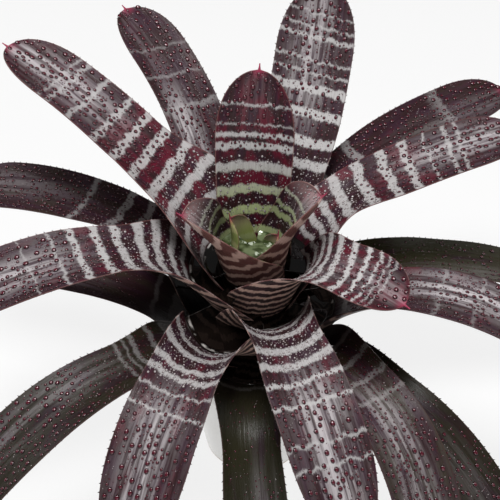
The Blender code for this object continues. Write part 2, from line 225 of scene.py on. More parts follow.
class Wire:
    """A socket of a finish. Arithmetic on it adds Math nodes."""

    def __init__(self, finish, socket):
        self.finish = finish
        self.socket = socket

    def math(self, operation, *others):
        return self.finish.node("ShaderNodeMath", {"operation": operation}, dict(enumerate((self, *others))))

    def __add__(self, other):
        return self.math("ADD", other)

    def __sub__(self, other):
        return self.math("SUBTRACT", other)

    def __rsub__(self, other):
        return self.finish.node("ShaderNodeMath", {"operation": "SUBTRACT"}, {0: other, 1: self})

    def __mul__(self, other):
        return self.math("MULTIPLY", other)

    def __truediv__(self, other):
        return self.math("DIVIDE", other)

    __radd__ = __add__
    __rmul__ = __mul__


class Finish:
    """A Principled material and the nodes that drive it."""

    def __init__(self, name, **constants):
        self.material = bpy.data.materials.new(name)
        self.material.use_nodes = True
        self.tree = self.material.node_tree
        self.shader = self.tree.nodes["Principled BSDF"]
        for socket, value in constants.items():
            self.shader.inputs[socket.replace("_", " ")].default_value = value

    def node(self, kind, settings, inputs, output=0):
        """Adds any node: its settings first, then its sockets' values or links."""
        made = self.tree.nodes.new(kind)
        for name, value in settings.items():
            if name == "stops":
                ramp = made.color_ramp
                ramp.interpolation = "LINEAR"
                for place, level in value[1:-1]:
                    ramp.elements.new(place)
                for element, (place, level) in zip(ramp.elements, value):
                    element.position = place
                    element.color = (level, level, level, 1)
            else:
                setattr(made, name, value)
        for key, value in inputs.items():
            if isinstance(value, Wire):
                self.tree.links.new(value.socket, made.inputs[key])
            else:
                made.inputs[key].default_value = value
        return Wire(self, made.outputs[output])

    def attribute(self, name, vector=False):
        return self.node("ShaderNodeAttribute", {"attribute_name": name}, {}, "Vector" if vector else "Fac")

    def place(self):
        return self.node("ShaderNodeTexCoord", {}, {}, "Object")

    def part(self, vector, axis):
        return self.node("ShaderNodeSeparateXYZ", {}, {0: vector}, axis)

    def scaled(self, vector, factors):
        return self.node("ShaderNodeVectorMath", {"operation": "MULTIPLY"}, {0: vector, 1: factors})

    def noise(self, vector, scale, detail=2.0, roughness=0.5, distortion=0.0):
        return self.node("ShaderNodeTexNoise", {}, {"Vector": vector, "Scale": scale, "Detail": detail,
                                                     "Roughness": roughness, "Distortion": distortion})

    def grey(self, value):
        """A value as an even colour."""
        return self.node("ShaderNodeCombineColor", {}, {0: value, 1: value, 2: value})

    def step(self, value, low, high):
        """0 below low, 1 above high, a soft step between."""
        return self.node("ShaderNodeMapRange", {"interpolation_type": "SMOOTHSTEP"},
                         {"Value": value, "From Min": low, "From Max": high})

    def blend(self, factor, first, second, how="MIX"):
        return self.node("ShaderNodeMix", {"data_type": "RGBA", "blend_type": how},
                         {0: factor, 6: first, 7: second}, 2)

    def feed(self, **sockets):
        for name, value in sockets.items():
            self.tree.links.new(value.socket, self.shader.inputs[name.replace("_", " ")])

    def bump(self, height, strength, distance):
        self.feed(Normal=self.node("ShaderNodeBump", {}, {"Strength": strength, "Distance": distance,
                                                          "Height": height}))


def band_stops(bands):
    """A ramp along the leaf that is one half on every band's edges, higher
    inside, lower outside, and reaches nought a tent's length away: 1/2 + (half width - distance) / 2 tent."""
    reach = BAND_TENT / MM
    stops = [(0, 0)]
    for number, (place, width) in enumerate(bands):
        after = bands[number + 1] if number + 1 < len(bands) else (place + 4 * reach, 0)
        stops.append((place / RAMP_LENGTH, 0.5 + width / 2 / (2 * reach)))
        gap = (after[0] - after[1] / 2) - (place + width / 2)
        if gap > 2 * reach:
            stops.append(((place + width / 2 + reach) / RAMP_LENGTH, 0))
        else:
            stops.append(((place + width / 2 + gap / 2) / RAMP_LENGTH, 0.5 - gap / 2 / (2 * reach)))
    return stops + [(1, 0)]


def leaf_finish(number, look):
    """The skin of one leaf. Its pattern runs on the strip attribute: millimetres along, millimetres
    across and a seed, so that noise keeps its scale whatever the leaf's bend."""
    finish = Finish(f"leaf_skin_{number + 1:02d}", Specular_IOR_Level=0.10)
    step, blend = finish.step, finish.blend
    strip = finish.attribute("strip", vector=True)
    across = finish.attribute("across")
    upper = finish.attribute("upper")
    tip = finish.attribute("tip")
    along = finish.part(strip, 0)

    def grain(factors, detail=2.0, roughness=0.5):
        return finish.noise(finish.scaled(strip, factors), 1.0, detail, roughness)

    broad = grain((0.010, 0.20, 1), 3, 0.6)
    streak = grain((0.030, 0.75, 1), 3, 0.65)
    fine = grain((0.18, 2.2, 1), 2, 0.6)
    patch = grain((0.030, 0.06, 1), 3, 0.6)
    speck = finish.noise(strip, 1.3, 2, 0.7)

    near, far = look.slant
    slant = near / 2 + (far - near) / 2 * step(along, 120, 290)
    wobble = (grain((0.02, 0.10, 1)) - 0.5) * 10
    ragged = (grain((0.12, 1.0, 1), 3, 0.7) - 0.5) * 5.5
    place = along - slant * across + wobble + ragged
    level = finish.node("ShaderNodeValToRGB", {"stops": band_stops(look.bands)}, {0: place / RAMP_LENGTH})
    band = step(level + (speck - 0.5) * 0.13, 0.465, 0.560)

    # The upper skin: maroon ground, crimson patches, olive clouds, grey waxy film that is partly painted
    # sheen, silver bands
    flush = step(patch, 0.66 - 0.28 * look.flush, 0.80 - 0.24 * look.flush) * min(1, 0.2 + look.flush)
    flush = flush * (1 - 0.7 * step(along, 190, 280))
    tint = grain((0.03, 0.12, 7))
    ground = blend(step(tint, 0.42, 0.62), MAROON, PLUM)
    ground = blend(flush, ground, CRIMSON)
    cloud = grain((0.02, 0.07, 3), 3)
    olive = step(cloud, 0.62 - 0.35 * look.green, 0.72 - 0.30 * look.green)
    ground = blend(olive * look.green, ground, OLIVE)
    # The lowest leaves' ground is darkened: partly painted shade under the leaves above
    shade = 0.55 if number in SHADED_LOW_LEAVES else 1.0
    ground = blend(1.0, ground, finish.grey((0.35 + streak * 0.8 + fine * 0.5) * shade), "MULTIPLY")
    # The grey film: partly the leaf's own waxy scurf, partly a painted sheen along the blade's middle
    start, full, strength = look.film
    off_centre = (across - look.side).math("ABSOLUTE")
    film = step(along, start - 25, full) * (1 - 0.92 * step(off_centre, 0.05, 0.80))
    film = film * (0.10 + 0.95 * step(broad * 0.85 + streak * 0.15, 0.38, 0.60)) * strength
    film = film * (1 - 0.85 * step(along, look.fade, look.fade + 60))
    film = film * (0.75 + 0.5 * fine) + speck * fine * 0.05
    film = film.math("MINIMUM", 1.0)
    upper_colour = blend(film, ground, FILM_AND_SHEEN)
    paler = blend(step(along, 110, 165), PALE_GREEN, SILVER) if number in GREEN_BANDED else SILVER
    silver = band * (0.50 + 0.75 * streak) * look.strength * (1 - 0.30 * step(along, 180, 300))
    upper_colour = blend(silver.math("MINIMUM", 1.0), upper_colour, paler)
    if number < HEART_LEAVES:
        upper_colour = blend(0.8, upper_colour, HEART_GREEN)
    if number < PINK_ENDED:
        length = LEAVES[number].length
        upper_colour = blend(0.45 * step(along, length - 26, length - 2), upper_colour, HEART_PINK)
    # Painted shade, partly the sheaths' own dark brown: the bases darken to near black down in the crown
    if number >= SHADED_DARK_BASES:
        upper_colour = blend(0.75 - 0.75 * step(along, 45, 135), upper_colour, DEEP_BROWN_AND_SHADE)

    # The underside: near black-brown with narrow tan bands, closer together towards the base
    turns = (place + look.outer * across).math("MAXIMUM", 8.0).math("LOGARITHM", 2.718) * 7.5
    narrow = step((turns * 2 * pi).math("SINE") + (streak - 0.5) * 1.6 + (speck - 0.5) * 0.8, 0.05, 0.55)
    blade_colour = RUSSET if number in TANK_LEAVES else MAROON
    outer_ground = blend(step(along, 60, 110), BROWN, blade_colour)
    outer_ground = blend(flush * 0.35, outer_ground, CRIMSON)
    # A faint grey film on the underside, partly painted sheen
    outer_ground = blend(0.02 + fine * 0.10, outer_ground, FILM_AND_SHEEN)
    banding = narrow * (0.40 + 0.8 * streak) * look.strength * (1 - 0.8 * step(along, 150, 260))
    banding = banding.math("MINIMUM", 1.0)
    outer_colour = blend(banding, outer_ground, blend(step(along, 110, 220), TAN, SILVER))
    if number < HEART_LEAVES:
        outer_colour = blend(0.7, outer_colour, HEART_GREEN)
    colour = blend(upper, outer_colour, upper_colour)

    edge = across.math("ABSOLUTE")
    colour = blend(step(edge, 0.970, 0.998) * (0.6 if number < PALE_MARGINS else 0.2), colour, MARGIN_TAN)
    colour = blend(tip * 0.95, colour, TIP_PINK)
    finish.feed(Base_Color=colour)
    finish.feed(Roughness=0.30 + 0.16 * film + 0.16 * band + (fine - 0.5) * 0.15)
    finish.bump(broad * 2.0 + streak * 0.7 + fine * 0.35 + band * 0.25, 0.5, 0.0008)
    return finish.material


def drop_finish():
    """A dew drop, its look painted: a dark maroon rim as painted shade where it bends the light away, a paler
    middle as painted light; the pale ones are painted glints.
    """
    finish = Finish("dew", Specular_IOR_Level=0.4, Roughness=0.05, Coat_Weight=0.25, Coat_Roughness=0.02)
    height = finish.attribute("height")
    shade = finish.attribute("shade")
    # Painted shade on the rim and painted light in the middle, by height; the shade attribute picks the pale
    # drops that are painted glints
    rim = finish.blend(shade, (0.006, 0.001, 0.002, 1), (0.08, 0.06, 0.06, 1))
    middle = finish.blend(shade, (0.070, 0.008, 0.016, 1), (0.36, 0.33, 0.33, 1))
    mottle = finish.noise(finish.place(), 900, 1)
    finish.feed(Base_Color=finish.blend(finish.step(height + (mottle - 0.5) * 0.3, 0.45, 1.0), rim, middle))
    return finish.material


def tank_water_finish():
    """Still water painted near black as the shade in the axil, with a broken bright line where it climbs the
    leaf that is a painted highlight.
    """
    finish = Finish("tank_water", Roughness=0.03, Specular_IOR_Level=0.5)
    place = finish.place()
    edge = finish.attribute("edge")
    # A painted highlight: a broken bright line where the water climbs the leaf
    meniscus_highlight = finish.step(edge, 0.935, 0.955) * (1 - finish.step(edge, 0.965, 0.985))
    meniscus_highlight = meniscus_highlight * finish.step(finish.noise(place, 60, 2), 0.50, 0.62)
    # Painted shade: the water's near-black colour
    shaded_murk = finish.blend(finish.noise(place, 45, 2), (0.0015, 0.001, 0.001, 1), (0.006, 0.004, 0.003, 1))
    finish.feed(Base_Color=finish.blend(meniscus_highlight * 0.9, shaded_murk, (0.40, 0.38, 0.36, 1)))
    finish.bump(finish.noise(place, 70, 1), 0.05, 0.001)
    return finish.material


def heart_water_finish():
    """Clear water over pale green leaf bases, cloudy, with pale specks; the specks and lighter clouds are a
    painted reflection.
    """
    finish = Finish("heart_water", Roughness=0.02, Specular_IOR_Level=0.5)
    place = finish.place()
    # Painted reflection: the pale specks and lighter clouds stand in for the light on the water
    speck = finish.step(finish.noise(place, 130, 3, 0.6), 0.57, 0.63)
    cloud = finish.step(finish.noise(place, 90, 2), 0.42, 0.60)
    green = finish.blend(cloud, (0.024, 0.034, 0.010, 1), (0.10, 0.125, 0.06, 1))
    finish.feed(Base_Color=finish.blend(speck * 0.55, green, (0.62, 0.68, 0.55, 1)))
    finish.bump(finish.noise(place, 90, 1), 0.05, 0.001)
    return finish.material


def glaze_finish():
    """White glaze: faint clouding, pinholes and a bare buff foot."""
    finish = Finish("pot_glaze", Coat_Weight=0.4, Coat_Roughness=0.06)
    place = finish.place()
    cloud = finish.noise(place, 22, 3)
    pin = finish.step(finish.noise(place, 900, 1), 0.70, 0.76)
    height = finish.part(place, 2)
    foot = 1 - finish.step(height + (cloud - 0.5) * 0.0015, 0.0022, 0.0032)
    white = finish.blend(cloud, (0.74, 0.73, 0.70, 1), (0.84, 0.835, 0.82, 1))
    white = finish.blend(pin * 0.5, white, (0.42, 0.38, 0.33, 1))
    finish.feed(Base_Color=finish.blend(foot, white, (0.45, 0.33, 0.24, 1)))
    finish.feed(Roughness=0.16 + 0.5 * foot + 0.08 * cloud)
    rings = (height * 2600).math("SINE") * 0.4 + cloud
    finish.bump(rings - pin, 0.12, 0.0004)
    return finish.material


def mix_finish():
    """Peat and fibre: dark brown crumbs with paler flecks."""
    finish = Finish("potting_mix_crumb")
    place = finish.place()
    crumb = finish.node("ShaderNodeTexVoronoi", {}, {"Vector": place, "Scale": 420})
    cloud = finish.noise(place, 160, 4, 0.65)
    dark = finish.blend(cloud, (0.012, 0.007, 0.004, 1), (0.065, 0.038, 0.022, 1))
    fleck = finish.step(finish.noise(place, 700, 1), 0.66, 0.72)
    finish.feed(Base_Color=finish.blend(fleck * 0.7, dark, (0.22, 0.16, 0.10, 1)))
    finish.feed(Roughness=0.98 - 0.2 * cloud)
    finish.bump(cloud - crumb * 0.7, 0.9, 0.002)
    return finish.material


def bark_finish():
    """Bark chips: red-brown, split along the grain."""
    finish = Finish("bark")
    place = finish.place()
    grain = finish.noise(finish.scaled(place, (1, 1, 0.2)), 500, 4, 0.7)
    tone = finish.noise(place, 120, 1)
    brown = finish.blend(tone, (0.035, 0.018, 0.010, 1), (0.16, 0.085, 0.045, 1))
    finish.feed(Base_Color=finish.blend(finish.step(grain, 0.35, 0.6), (0.02, 0.011, 0.007, 1), brown))
    finish.feed(Roughness=0.80 + 0.18 * grain)
    finish.bump(grain, 0.8, 0.0012)
    return finish.material


def stem_finish():
    """Stem: corky brown with the rings that shed leaves leave."""
    finish = Finish("stem_cork")
    place = finish.place()
    rings = (finish.part(place, 2) * 2100 + finish.noise(place, 90, 2) * 5).math("SINE") * 0.5 + 0.5
    cork = finish.noise(place, 320, 4, 0.7)
    brown = finish.blend(cork, (0.05, 0.028, 0.016, 1), (0.20, 0.13, 0.075, 1))
    finish.feed(Base_Color=finish.blend(rings * 0.5, brown, (0.09, 0.08, 0.035, 1)))
    finish.feed(Roughness=0.7 + 0.25 * cork)
    finish.bump(cork + rings, 0.7, 0.0012)
    return finish.material


# ---------------------------------------------------------------- shapes

def smooth(x):
    """A soft step from 0 at x = 0 to 1 at x = 1."""
    x = np.clip(x, 0, 1)
    return x * x * (3 - 2 * x)


def between(s, span):
    """The soft step of s across a (start, end) span in millimetres."""
    start, end = np.array(span) * MM
    return smooth((s - start) / (end - start))


def leaf_base(number):
    """Radius and height where leaf `number` (0 the youngest) leaves the stem."""
    return TOP_RADIUS + RADIUS_STEP * number, TOP_HEIGHT - HEIGHT_STEP * number


def midrib(leaf, number, s):
    """Points, headings and unit tangents of the midrib at arc lengths s: the tangent's slope is the
    rounded pitch polyline and its heading swings from azimuth to azimuth + turn; the points are its
    running sum from the base."""
    fine = np.linspace(0, s[-1], 400)
    shifts = np.linspace(-PITCH_BLUR, PITCH_BLUR, 9)
    pitch = np.mean([np.interp(fine + d, PITCH_STATIONS, leaf.pitch) for d in shifts], axis=0)
    pitch = np.radians(pitch)
    heading = np.radians(leaf.azimuth + leaf.turn * smooth((fine - 20 * MM) / (fine[-1] - 20 * MM)))
    flat = np.cos(pitch)
    tangent = np.stack([flat * np.cos(heading), flat * np.sin(heading), np.sin(pitch)], axis=-1)
    radius, height = leaf_base(number)
    start = [radius * cos(heading[0]), radius * sin(heading[0]), height]
    steps = (tangent[1:] + tangent[:-1]) / 2 * (fine[1] - fine[0])
    points = np.vstack([start, start + np.cumsum(steps, axis=0)])
    points, tangent = [np.stack([np.interp(s, fine, column) for column in table.T], axis=-1)
                       for table in (points, tangent)]
    return points, np.interp(s, fine, heading), tangent / np.linalg.norm(tangent, axis=1)[:, None]


def half_width(leaf, s):
    """Half width: the sheath fills out, narrows through the neck to the blade, and the blade rounds in
    to a concave cusp that ends in the hard point."""
    sheath = leaf.sheath * MM * (0.6 + 0.4 * smooth(s / (60 * MM)))
    rounded_length = leaf.length * MM
    neck = 0.88 + 0.12 * smooth((s / rounded_length - 0.3) / 0.35)
    narrow = between(s, leaf.neck)
    width = sheath * (1 - narrow) + leaf.blade * MM * neck * narrow
    x = np.clip((s / rounded_length - leaf.tip) / (1 - leaf.tip), 0, 1)
    left = np.clip((s[-1] - s) / CUSP_LENGTH, 0, 1)
    point = POINT_HALF_WIDTH + CUSP_HALF_WIDTH * left ** 2
    return np.maximum(width * np.sqrt(1 - x ** 2.3), point)


def leaf_surface(leaf, number, s, u):
    """Middle surface of a leaf over arc length s and u from -1 to 1 across it. Near its base it lies on
    the surface of revolution of its midrib round the crown's axis, and further out it is a circular
    channel of half angle `cup` square to the midrib, rolled by `twist`."""
    centre, heading, tangent = midrib(leaf, number, s)
    half = half_width(leaf, s)
    radius = np.hypot(centre[:, 0], centre[:, 1])
    angle = np.arctan2(centre[:, 1], centre[:, 0])[:, None] + u * (half / radius)[:, None]
    height = np.repeat(centre[:, 2:], len(u), axis=1)
    wrapped = polar(radius[:, None], angle, height)

    across = np.stack([-np.sin(heading), np.cos(heading), 0 * heading], axis=-1)
    normal = np.cross(tangent, across)
    roll = np.radians(leaf.twist) * smooth((s - 60 * MM) / (s[-1] - 60 * MM))[:, None]
    side = across * np.cos(roll) + normal * np.sin(roll)
    up = normal * np.cos(roll) - across * np.sin(roll)
    bend = leaf.cup[0] + (leaf.cup[1] - leaf.cup[0]) * between(s, (85, 200))
    arc = u * bend[:, None]
    arc_radius = (half / bend)[:, None]
    blade = centre[:, None] + (arc_radius * np.sin(arc))[..., None] * side[:, None]
    blade = blade + (arc_radius * (1 - np.cos(arc)))[..., None] * up[:, None]

    free = between(s, leaf.free)[:, None, None]
    surface = wrapped * (1 - free) + blade * free
    return surface + np.array([0, 0, CROWN_HEIGHT])


def polar(radius, turn, height):
    """Points at a radius and a height, turned round Z."""
    return np.stack([radius * np.cos(turn), radius * np.sin(turn), height], axis=-1)


def unit(vectors):
    """Vectors at length one."""
    return vectors / np.linalg.norm(vectors, axis=-1, keepdims=True)


def surface_normal(surface):
    """Unit normals of a grid surface, towards a leaf's underside."""
    return unit(np.cross(np.gradient(surface, axis=1), np.gradient(surface, axis=0)))


def mesh_object(name, vertices, faces, finish, node=None):
    """A smooth-shaded piece that rides with the part, and stands for a CAD node where it has one."""
    mesh = bpy.data.meshes.new(name)
    mesh.from_pydata(np.asarray(vertices).tolist(), [], [list(face) for face in faces])
    mesh.materials.append(finish)
    mesh.shade_smooth()
    piece = bpy.data.objects.new(name, mesh)
    COLLECTION.objects.link(piece)
    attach(piece, "root")
    if node:
        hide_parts(node)
    return piece


def point_attribute(piece, name, values, kind="FLOAT"):
    """Stores one value, or one vector, at every vertex."""
    attribute = piece.data.attributes.new(name, kind, "POINT")
    attribute.data.foreach_set("vector" if kind == "FLOAT_VECTOR" else "value",
                               np.ascontiguousarray(values, dtype=np.float32).ravel())


def grid_quads(rows, columns):
    """Corner indices of a grid's quads."""
    index = np.arange(rows * columns).reshape(rows, columns)
    return np.stack([index[:-1, :-1], index[:-1, 1:], index[1:, 1:], index[1:, :-1]], axis=-1).reshape(-1, 4)


def rim_quads(rows, columns):
    """The quads that join the border of a leaf's upper grid to the border of its lower one."""
    index = np.arange(rows * columns).reshape(rows, columns)
    edge = np.concatenate([index[0, :-1], index[:-1, -1], index[-1, :0:-1], index[:0:-1, 0]])
    following = np.roll(edge, -1)
    return np.stack([edge, following, following + rows * columns, edge + rows * columns], axis=-1)


def sheet_faces(rows, columns):
    """Faces of a closed sheet whose upper grid's corners come first and its lower grid's second."""
    quads = grid_quads(rows, columns)
    return [*quads[:, ::-1], *(quads + rows * columns), *rim_quads(rows, columns)]


def leaf_thickness(leaf, s, u):
    """Thin at the base, full on the blade, thinner towards the margins and the point."""
    along = BASE_THICK + (BLADE_THICK - BASE_THICK) * smooth((s - 30 * MM) / (80 * MM))
    along = np.minimum(along, POINT_TAPER * half_width(leaf, s))
    return along[:, None] * (1 - MARGIN_THIN * u ** 2)


def leaf_grid(leaf, number):
    """A leaf's stations, its places across, its fine middle surface and its normals. The surface gets a
    shallow groove along the middle and margins that ripple a little."""
    total = leaf.length * MM + POINT_LENGTH
    rounding = leaf.tip * leaf.length * MM
    s = np.concatenate([np.arange(0, rounding, STATION_STEP),
                        total - (total - rounding) * np.linspace(1, 0, 34) ** 1.6])
    u = np.sin(np.linspace(-pi / 2, pi / 2, ACROSS) * 0.8) / sin(pi / 2 * 0.8)
    surface = leaf_surface(leaf, number, s, u)
    normal = surface_normal(surface)
    half = half_width(leaf, s)
    free = between(s, leaf.free) * (1 - smooth((s - rounding) / (total - rounding)))
    groove = GROOVE_DEPTH * np.exp(-(half[:, None] * u / GROOVE_WIDTH) ** 2)
    phase = s / (26 * MM) + number * 1.7
    ripple = np.sin(phase)[:, None] * np.clip(-u, 0, 1) ** 3
    ripple = ripple + np.cos(phase * 1.13)[:, None] * np.clip(u, 0, 1) ** 3
    shift = (groove + MARGIN_WAVE * ripple) * free[:, None]
    return s, u, surface + normal * shift[..., None], normal


def teeth(surface, normal, s):
    """Small flat spines along both margins: a four-sided pyramid every tooth spacing, its base sunk in
    the margin and its point leaning towards the leaf's tip."""
    count = int((s[-1] - 95 * MM) / TOOTH_SPACING)
    at = np.linspace(90 * MM, s[-1] - 8 * MM, count)
    rows = np.interp(at, s, np.arange(len(s)))
    low = rows.astype(int)
    share = (rows - low)[:, None]
    corners, faces = [], []
    for column, inward in ((0, 1), (-1, -2)):
        margin = surface[low, column] * (1 - share) + surface[low + 1, column] * share
        forward = unit(surface[low + 1, column] - surface[low, column])
        outward = unit(surface[low, column] - surface[low, inward])
        upward = normal[low, column]
        root = margin - outward * 0.3 * MM
        length = TOOTH_LENGTH * (0.75 + 0.25 * np.sin(rows * 2.3))[:, None]
        tip = margin + outward * length + forward * length * 0.7
        ring = [root - forward * TOOTH_HALF_BASE, root + upward * 0.3 * MM,
                root + forward * TOOTH_HALF_BASE, root - upward * 0.3 * MM]
        first = sum(len(block) for block in corners)
        corners.append(np.stack([*ring, tip], axis=1).reshape(-1, 3))
        start = first + 5 * np.arange(count)[:, None, None]
        order = [(0, 1, 4), (1, 2, 4), (2, 3, 4), (3, 0, 4), (0, 2, 1), (0, 3, 2)]
        if column == 0:
            order = [face[::-1] for face in order]
        faces.append((start + np.array(order)).reshape(-1, 3))
    return np.concatenate(corners), np.concatenate(faces), np.tile(at, 2)


def make_leaf(leaf, number, look):
    """One leaf: the fine grid thickened both ways along its normals, closed round its border, with its
    teeth, and the attributes that its skin is painted from."""
    s, u, surface, normal = leaf_grid(leaf, number)
    half = half_width(leaf, s)
    offset = normal * leaf_thickness(leaf, s, u)[..., None] / 2
    rows, columns = surface.shape[:2]
    sheet = rows * columns
    spines, spine_faces, spine_at = teeth(surface, normal, s)
    vertices = np.concatenate([(surface - offset).reshape(-1, 3), (surface + offset).reshape(-1, 3), spines])
    faces = [*sheet_faces(rows, columns), *(spine_faces + 2 * sheet)]
    name = f"leaf_{number + 1:02d}"
    piece = mesh_object(f"{name}_skin", vertices, faces, leaf_finish(number, look), name)

    stations = np.repeat(s[:, None], columns, axis=1)
    width = half[:, None] * u
    tip = smooth((stations - s[-1] + 16 * MM) / (14 * MM)) * smooth(1.15 - abs(width) / (9 * MM))
    spine_along = np.repeat(spine_at, 5)
    blank = np.zeros(len(spines))
    seeds = np.full(sheet, 37.0 * number)
    strip = np.stack([np.concatenate([stations.ravel(), stations.ravel(), spine_along]) / MM,
                      np.concatenate([width.ravel(), width.ravel(), blank]) / MM,
                      np.concatenate([seeds, seeds + 500, blank])], axis=-1)
    point_attribute(piece, "strip", strip, "FLOAT_VECTOR")
    flat = np.repeat(u[None], rows, axis=0).ravel()
    point_attribute(piece, "across", np.concatenate([flat, flat, blank + 0.9]))
    point_attribute(piece, "upper", np.concatenate([np.ones(sheet), np.zeros(sheet), blank + 1]))
    point_attribute(piece, "tip", np.concatenate([tip.ravel(), tip.ravel(), blank]))
    bake_layout(piece, s, half, u, rows, columns)


def bake_layout(piece, s, half, u, rows, columns):
    """The bake map: the upper skin and the underside laid out flat, side by side, at one scale; the teeth
    share a strip at the end."""
    mesh = piece.data
    sheet = rows * columns
    flat = np.stack([np.repeat(s[:, None], columns, axis=1) / (s[-1] * 1.02) * 0.94 + 0.01,
                     0.25 + 0.23 * (half / half.max())[:, None] * u], axis=-1).reshape(-1, 2)
    spines = len(mesh.vertices) - 2 * sheet
    corner = np.tile(np.array([(0, 0), (1, 0), (1, 1), (0, 1), (.5, .5)]), (spines // 5, 1))
    cell = np.repeat(np.arange(spines // 5), 5)[:, None]
    tooth = np.array([0.965, 0.02]) + corner * [0.012, 0.006] + cell * [0, 0.0078]
    place = np.concatenate([flat, flat + [0, 0.5], tooth])
    loops = np.empty(len(mesh.loops), dtype=np.int32)
    mesh.loops.foreach_get("vertex_index", loops)
    layer = mesh.uv_layers.new(name="OFBake")
    layer.data.foreach_set("uv", place[loops].astype(np.float32).ravel())


def dew(leaf, number, look, random):
    """Drops on a leaf's upper skin: flattened domes of mixed size, scattered by chance with none
    overlapping, fine near the base and larger on the outer blade."""
    s, u, surface, normal = leaf_grid(leaf, number)
    half = half_width(leaf, s)
    area = np.trapz(2 * half, s) * 1e4
    count = int(area * look.dew * DEW_DENSITY)
    along = 95 * MM + (s[-1] - 103 * MM) * random.random(count)
    side = random.uniform(-0.93, 0.93, count)
    size = 0.38 * MM + 1.95 * MM * random.random(count) ** 4.2
    size *= 0.50 + 0.50 * smooth((along - 140 * MM) / (90 * MM))
    order = np.argsort(-size)
    along, side, size = along[order], side[order], size[order]
    flat = np.stack([along, side * np.interp(along, s, half)], axis=-1)
    near = np.hypot(*(flat[:, None] - flat[None]).transpose(2, 0, 1)) < 1.15 * (size[:, None] + size[None])
    kept = ~np.tril(near, -1).any(axis=1)
    along, side, size = along[kept], side[kept], size[kept]

    rows = np.interp(along, s, np.arange(len(s)))
    columns = np.interp(side, u, np.arange(len(u)))
    low_row, low_column = rows.astype(int), columns.astype(int)
    row_share, column_share = (rows - low_row)[:, None], (columns - low_column)[:, None]
    upper = surface - normal * leaf_thickness(leaf, s, u)[..., None] / 2

    def sampled(grid):
        first = grid[low_row, low_column] * (1 - column_share) + grid[low_row, low_column + 1] * column_share
        last = grid[low_row + 1, low_column] * (1 - column_share)
        last = last + grid[low_row + 1, low_column + 1] * column_share
        return first * (1 - row_share) + last * row_share

    centre = sampled(upper)
    up = -unit(sampled(normal))
    forward = unit(surface[low_row + 1, low_column] - surface[low_row, low_column])
    sideways = np.cross(up, forward)
    points, faces, heights = dome(DROP_SIDES)
    stretch = 1 + 0.35 * random.random(len(size))
    local = size[:, None, None] * points[None]
    vertices = centre[:, None] + local[..., :1] * forward[:, None] * stretch[:, None, None]
    vertices = vertices + local[..., 1:2] * sideways[:, None] + local[..., 2:] * up[:, None]
    linked = [face + len(points) * k for k in range(len(size)) for face in faces]
    piece = mesh_object(f"dew_{number + 1:02d}", vertices.reshape(-1, 3), linked, DEW)
    # Pale drops near the heart and some small ones: painted glints
    pale_glint = (along < 165 * MM) & (number < BANDED_LEAVES)
    pale_glint = pale_glint | (size < 0.6 * MM) & (random.random(len(size)) < 0.2)
    point_attribute(piece, "height", np.tile(heights, len(size)))
    point_attribute(piece, "shade", np.repeat(pale_glint * 0.9, len(points)))


def dome(sides):
    """Points, faces and heights (0 at the rim, 1 on top) of a flattened half drop of radius one, closed
    underneath."""
    turn = 2 * pi * np.arange(sides) / sides
    rings = [(0.96, -0.12), (1.0, 0.08), (0.86, 0.36), (0.5, 0.56)]
    rows = [polar(r, turn, np.full(sides, z)) for r, z in rings]
    points = np.concatenate([*rows, np.array([[0, 0, 0.62]])])
    faces = [np.arange(sides)[::-1]]
    for ring in range(len(rings) - 1):
        for k in range(sides):
            after = (k + 1) % sides
            faces.append(np.array([k, after, after + sides, k + sides]) + ring * sides)
    top = len(points) - 1
    last = (len(rings) - 1) * sides
    faces += [np.array([last + k, last + (k + 1) % sides, top]) for k in range(sides)]
    heights = np.clip(points[:, 2] / 0.62, 0, 1)
    return points, faces, heights


def shore(number, level, turn):
    """How far from the crown's axis a leaf's wall stands at a level, for each angle round the axis; not a
    number where the leaf isn't there. Each column across the leaf is followed from its base up to the
    first station above the level."""
    leaf = LEAVES[number]
    s = np.arange(0, leaf.length * MM + POINT_LENGTH, 0.25 * MM)
    surface = leaf_surface(leaf, number, s, np.linspace(-0.96, 0.96, 81))
    reached = surface[..., 2] > level
    column = np.flatnonzero(reached.any(axis=0))
    at = surface[reached.argmax(axis=0)[column], column]
    angle = np.unwrap(np.arctan2(at[:, 1], at[:, 0]))
    middle = (angle[0] + angle[-1]) / 2
    wanted = middle + (turn - middle + pi) % (2 * pi) - pi
    return np.interp(wanted, angle, np.hypot(at[:, 0], at[:, 1]), left=np.nan, right=np.nan)


def pool(name, numbers, level, finish):
    """Water held by one or more leaves: a disc whose edge follows their walls and climbs them a little.
    Where none of them stands it draws in to the crown's middle, behind the younger leaves."""
    turn = 2 * pi * np.arange(TURN_STEPS) / TURN_STEPS
    reach = np.fmin.reduce([shore(number, level, turn) for number in numbers])
    reach = np.where(np.isnan(reach), POOL_HEART, reach)
    share = np.array([0.0, 0.2, 0.4, 0.6, 0.75, 0.86, 0.92, 0.945, 0.965, 0.98, 0.99, 1.0])
    climb = WATER_CLIMB * smooth((share - 0.93) / 0.05)
    profile = list(zip(share, level + climb)) + [(1.0, level - 1 * MM), (0, level - 1.5 * MM)]
    vertices, faces = turned(profile)
    rings = len(profile) - 2
    vertices[:rings * TURN_STEPS, :2] *= np.tile(reach, rings)[:, None]
    piece = mesh_object(name, vertices, faces, finish)
    edge = np.concatenate([share[1:], [1.0]])
    point_attribute(piece, "edge", np.concatenate([np.repeat(edge, TURN_STEPS), [0, 0]]))


def arc(centre_radius, centre_height, round_radius, start, end, count=7):
    """Profile points on a circular arc, angles in degrees from straight out, anticlockwise."""
    angles = np.radians(np.linspace(start, end, count))
    return [(centre_radius + round_radius * cos(a), centre_height + round_radius * sin(a)) for a in angles]


def wall_radius(height):
    """Outside radius of the pot's tapered wall."""
    return POT_FOOT_RADIUS + (POT_MOUTH_RADIUS - POT_FOOT_RADIUS) * height / POT_HEIGHT


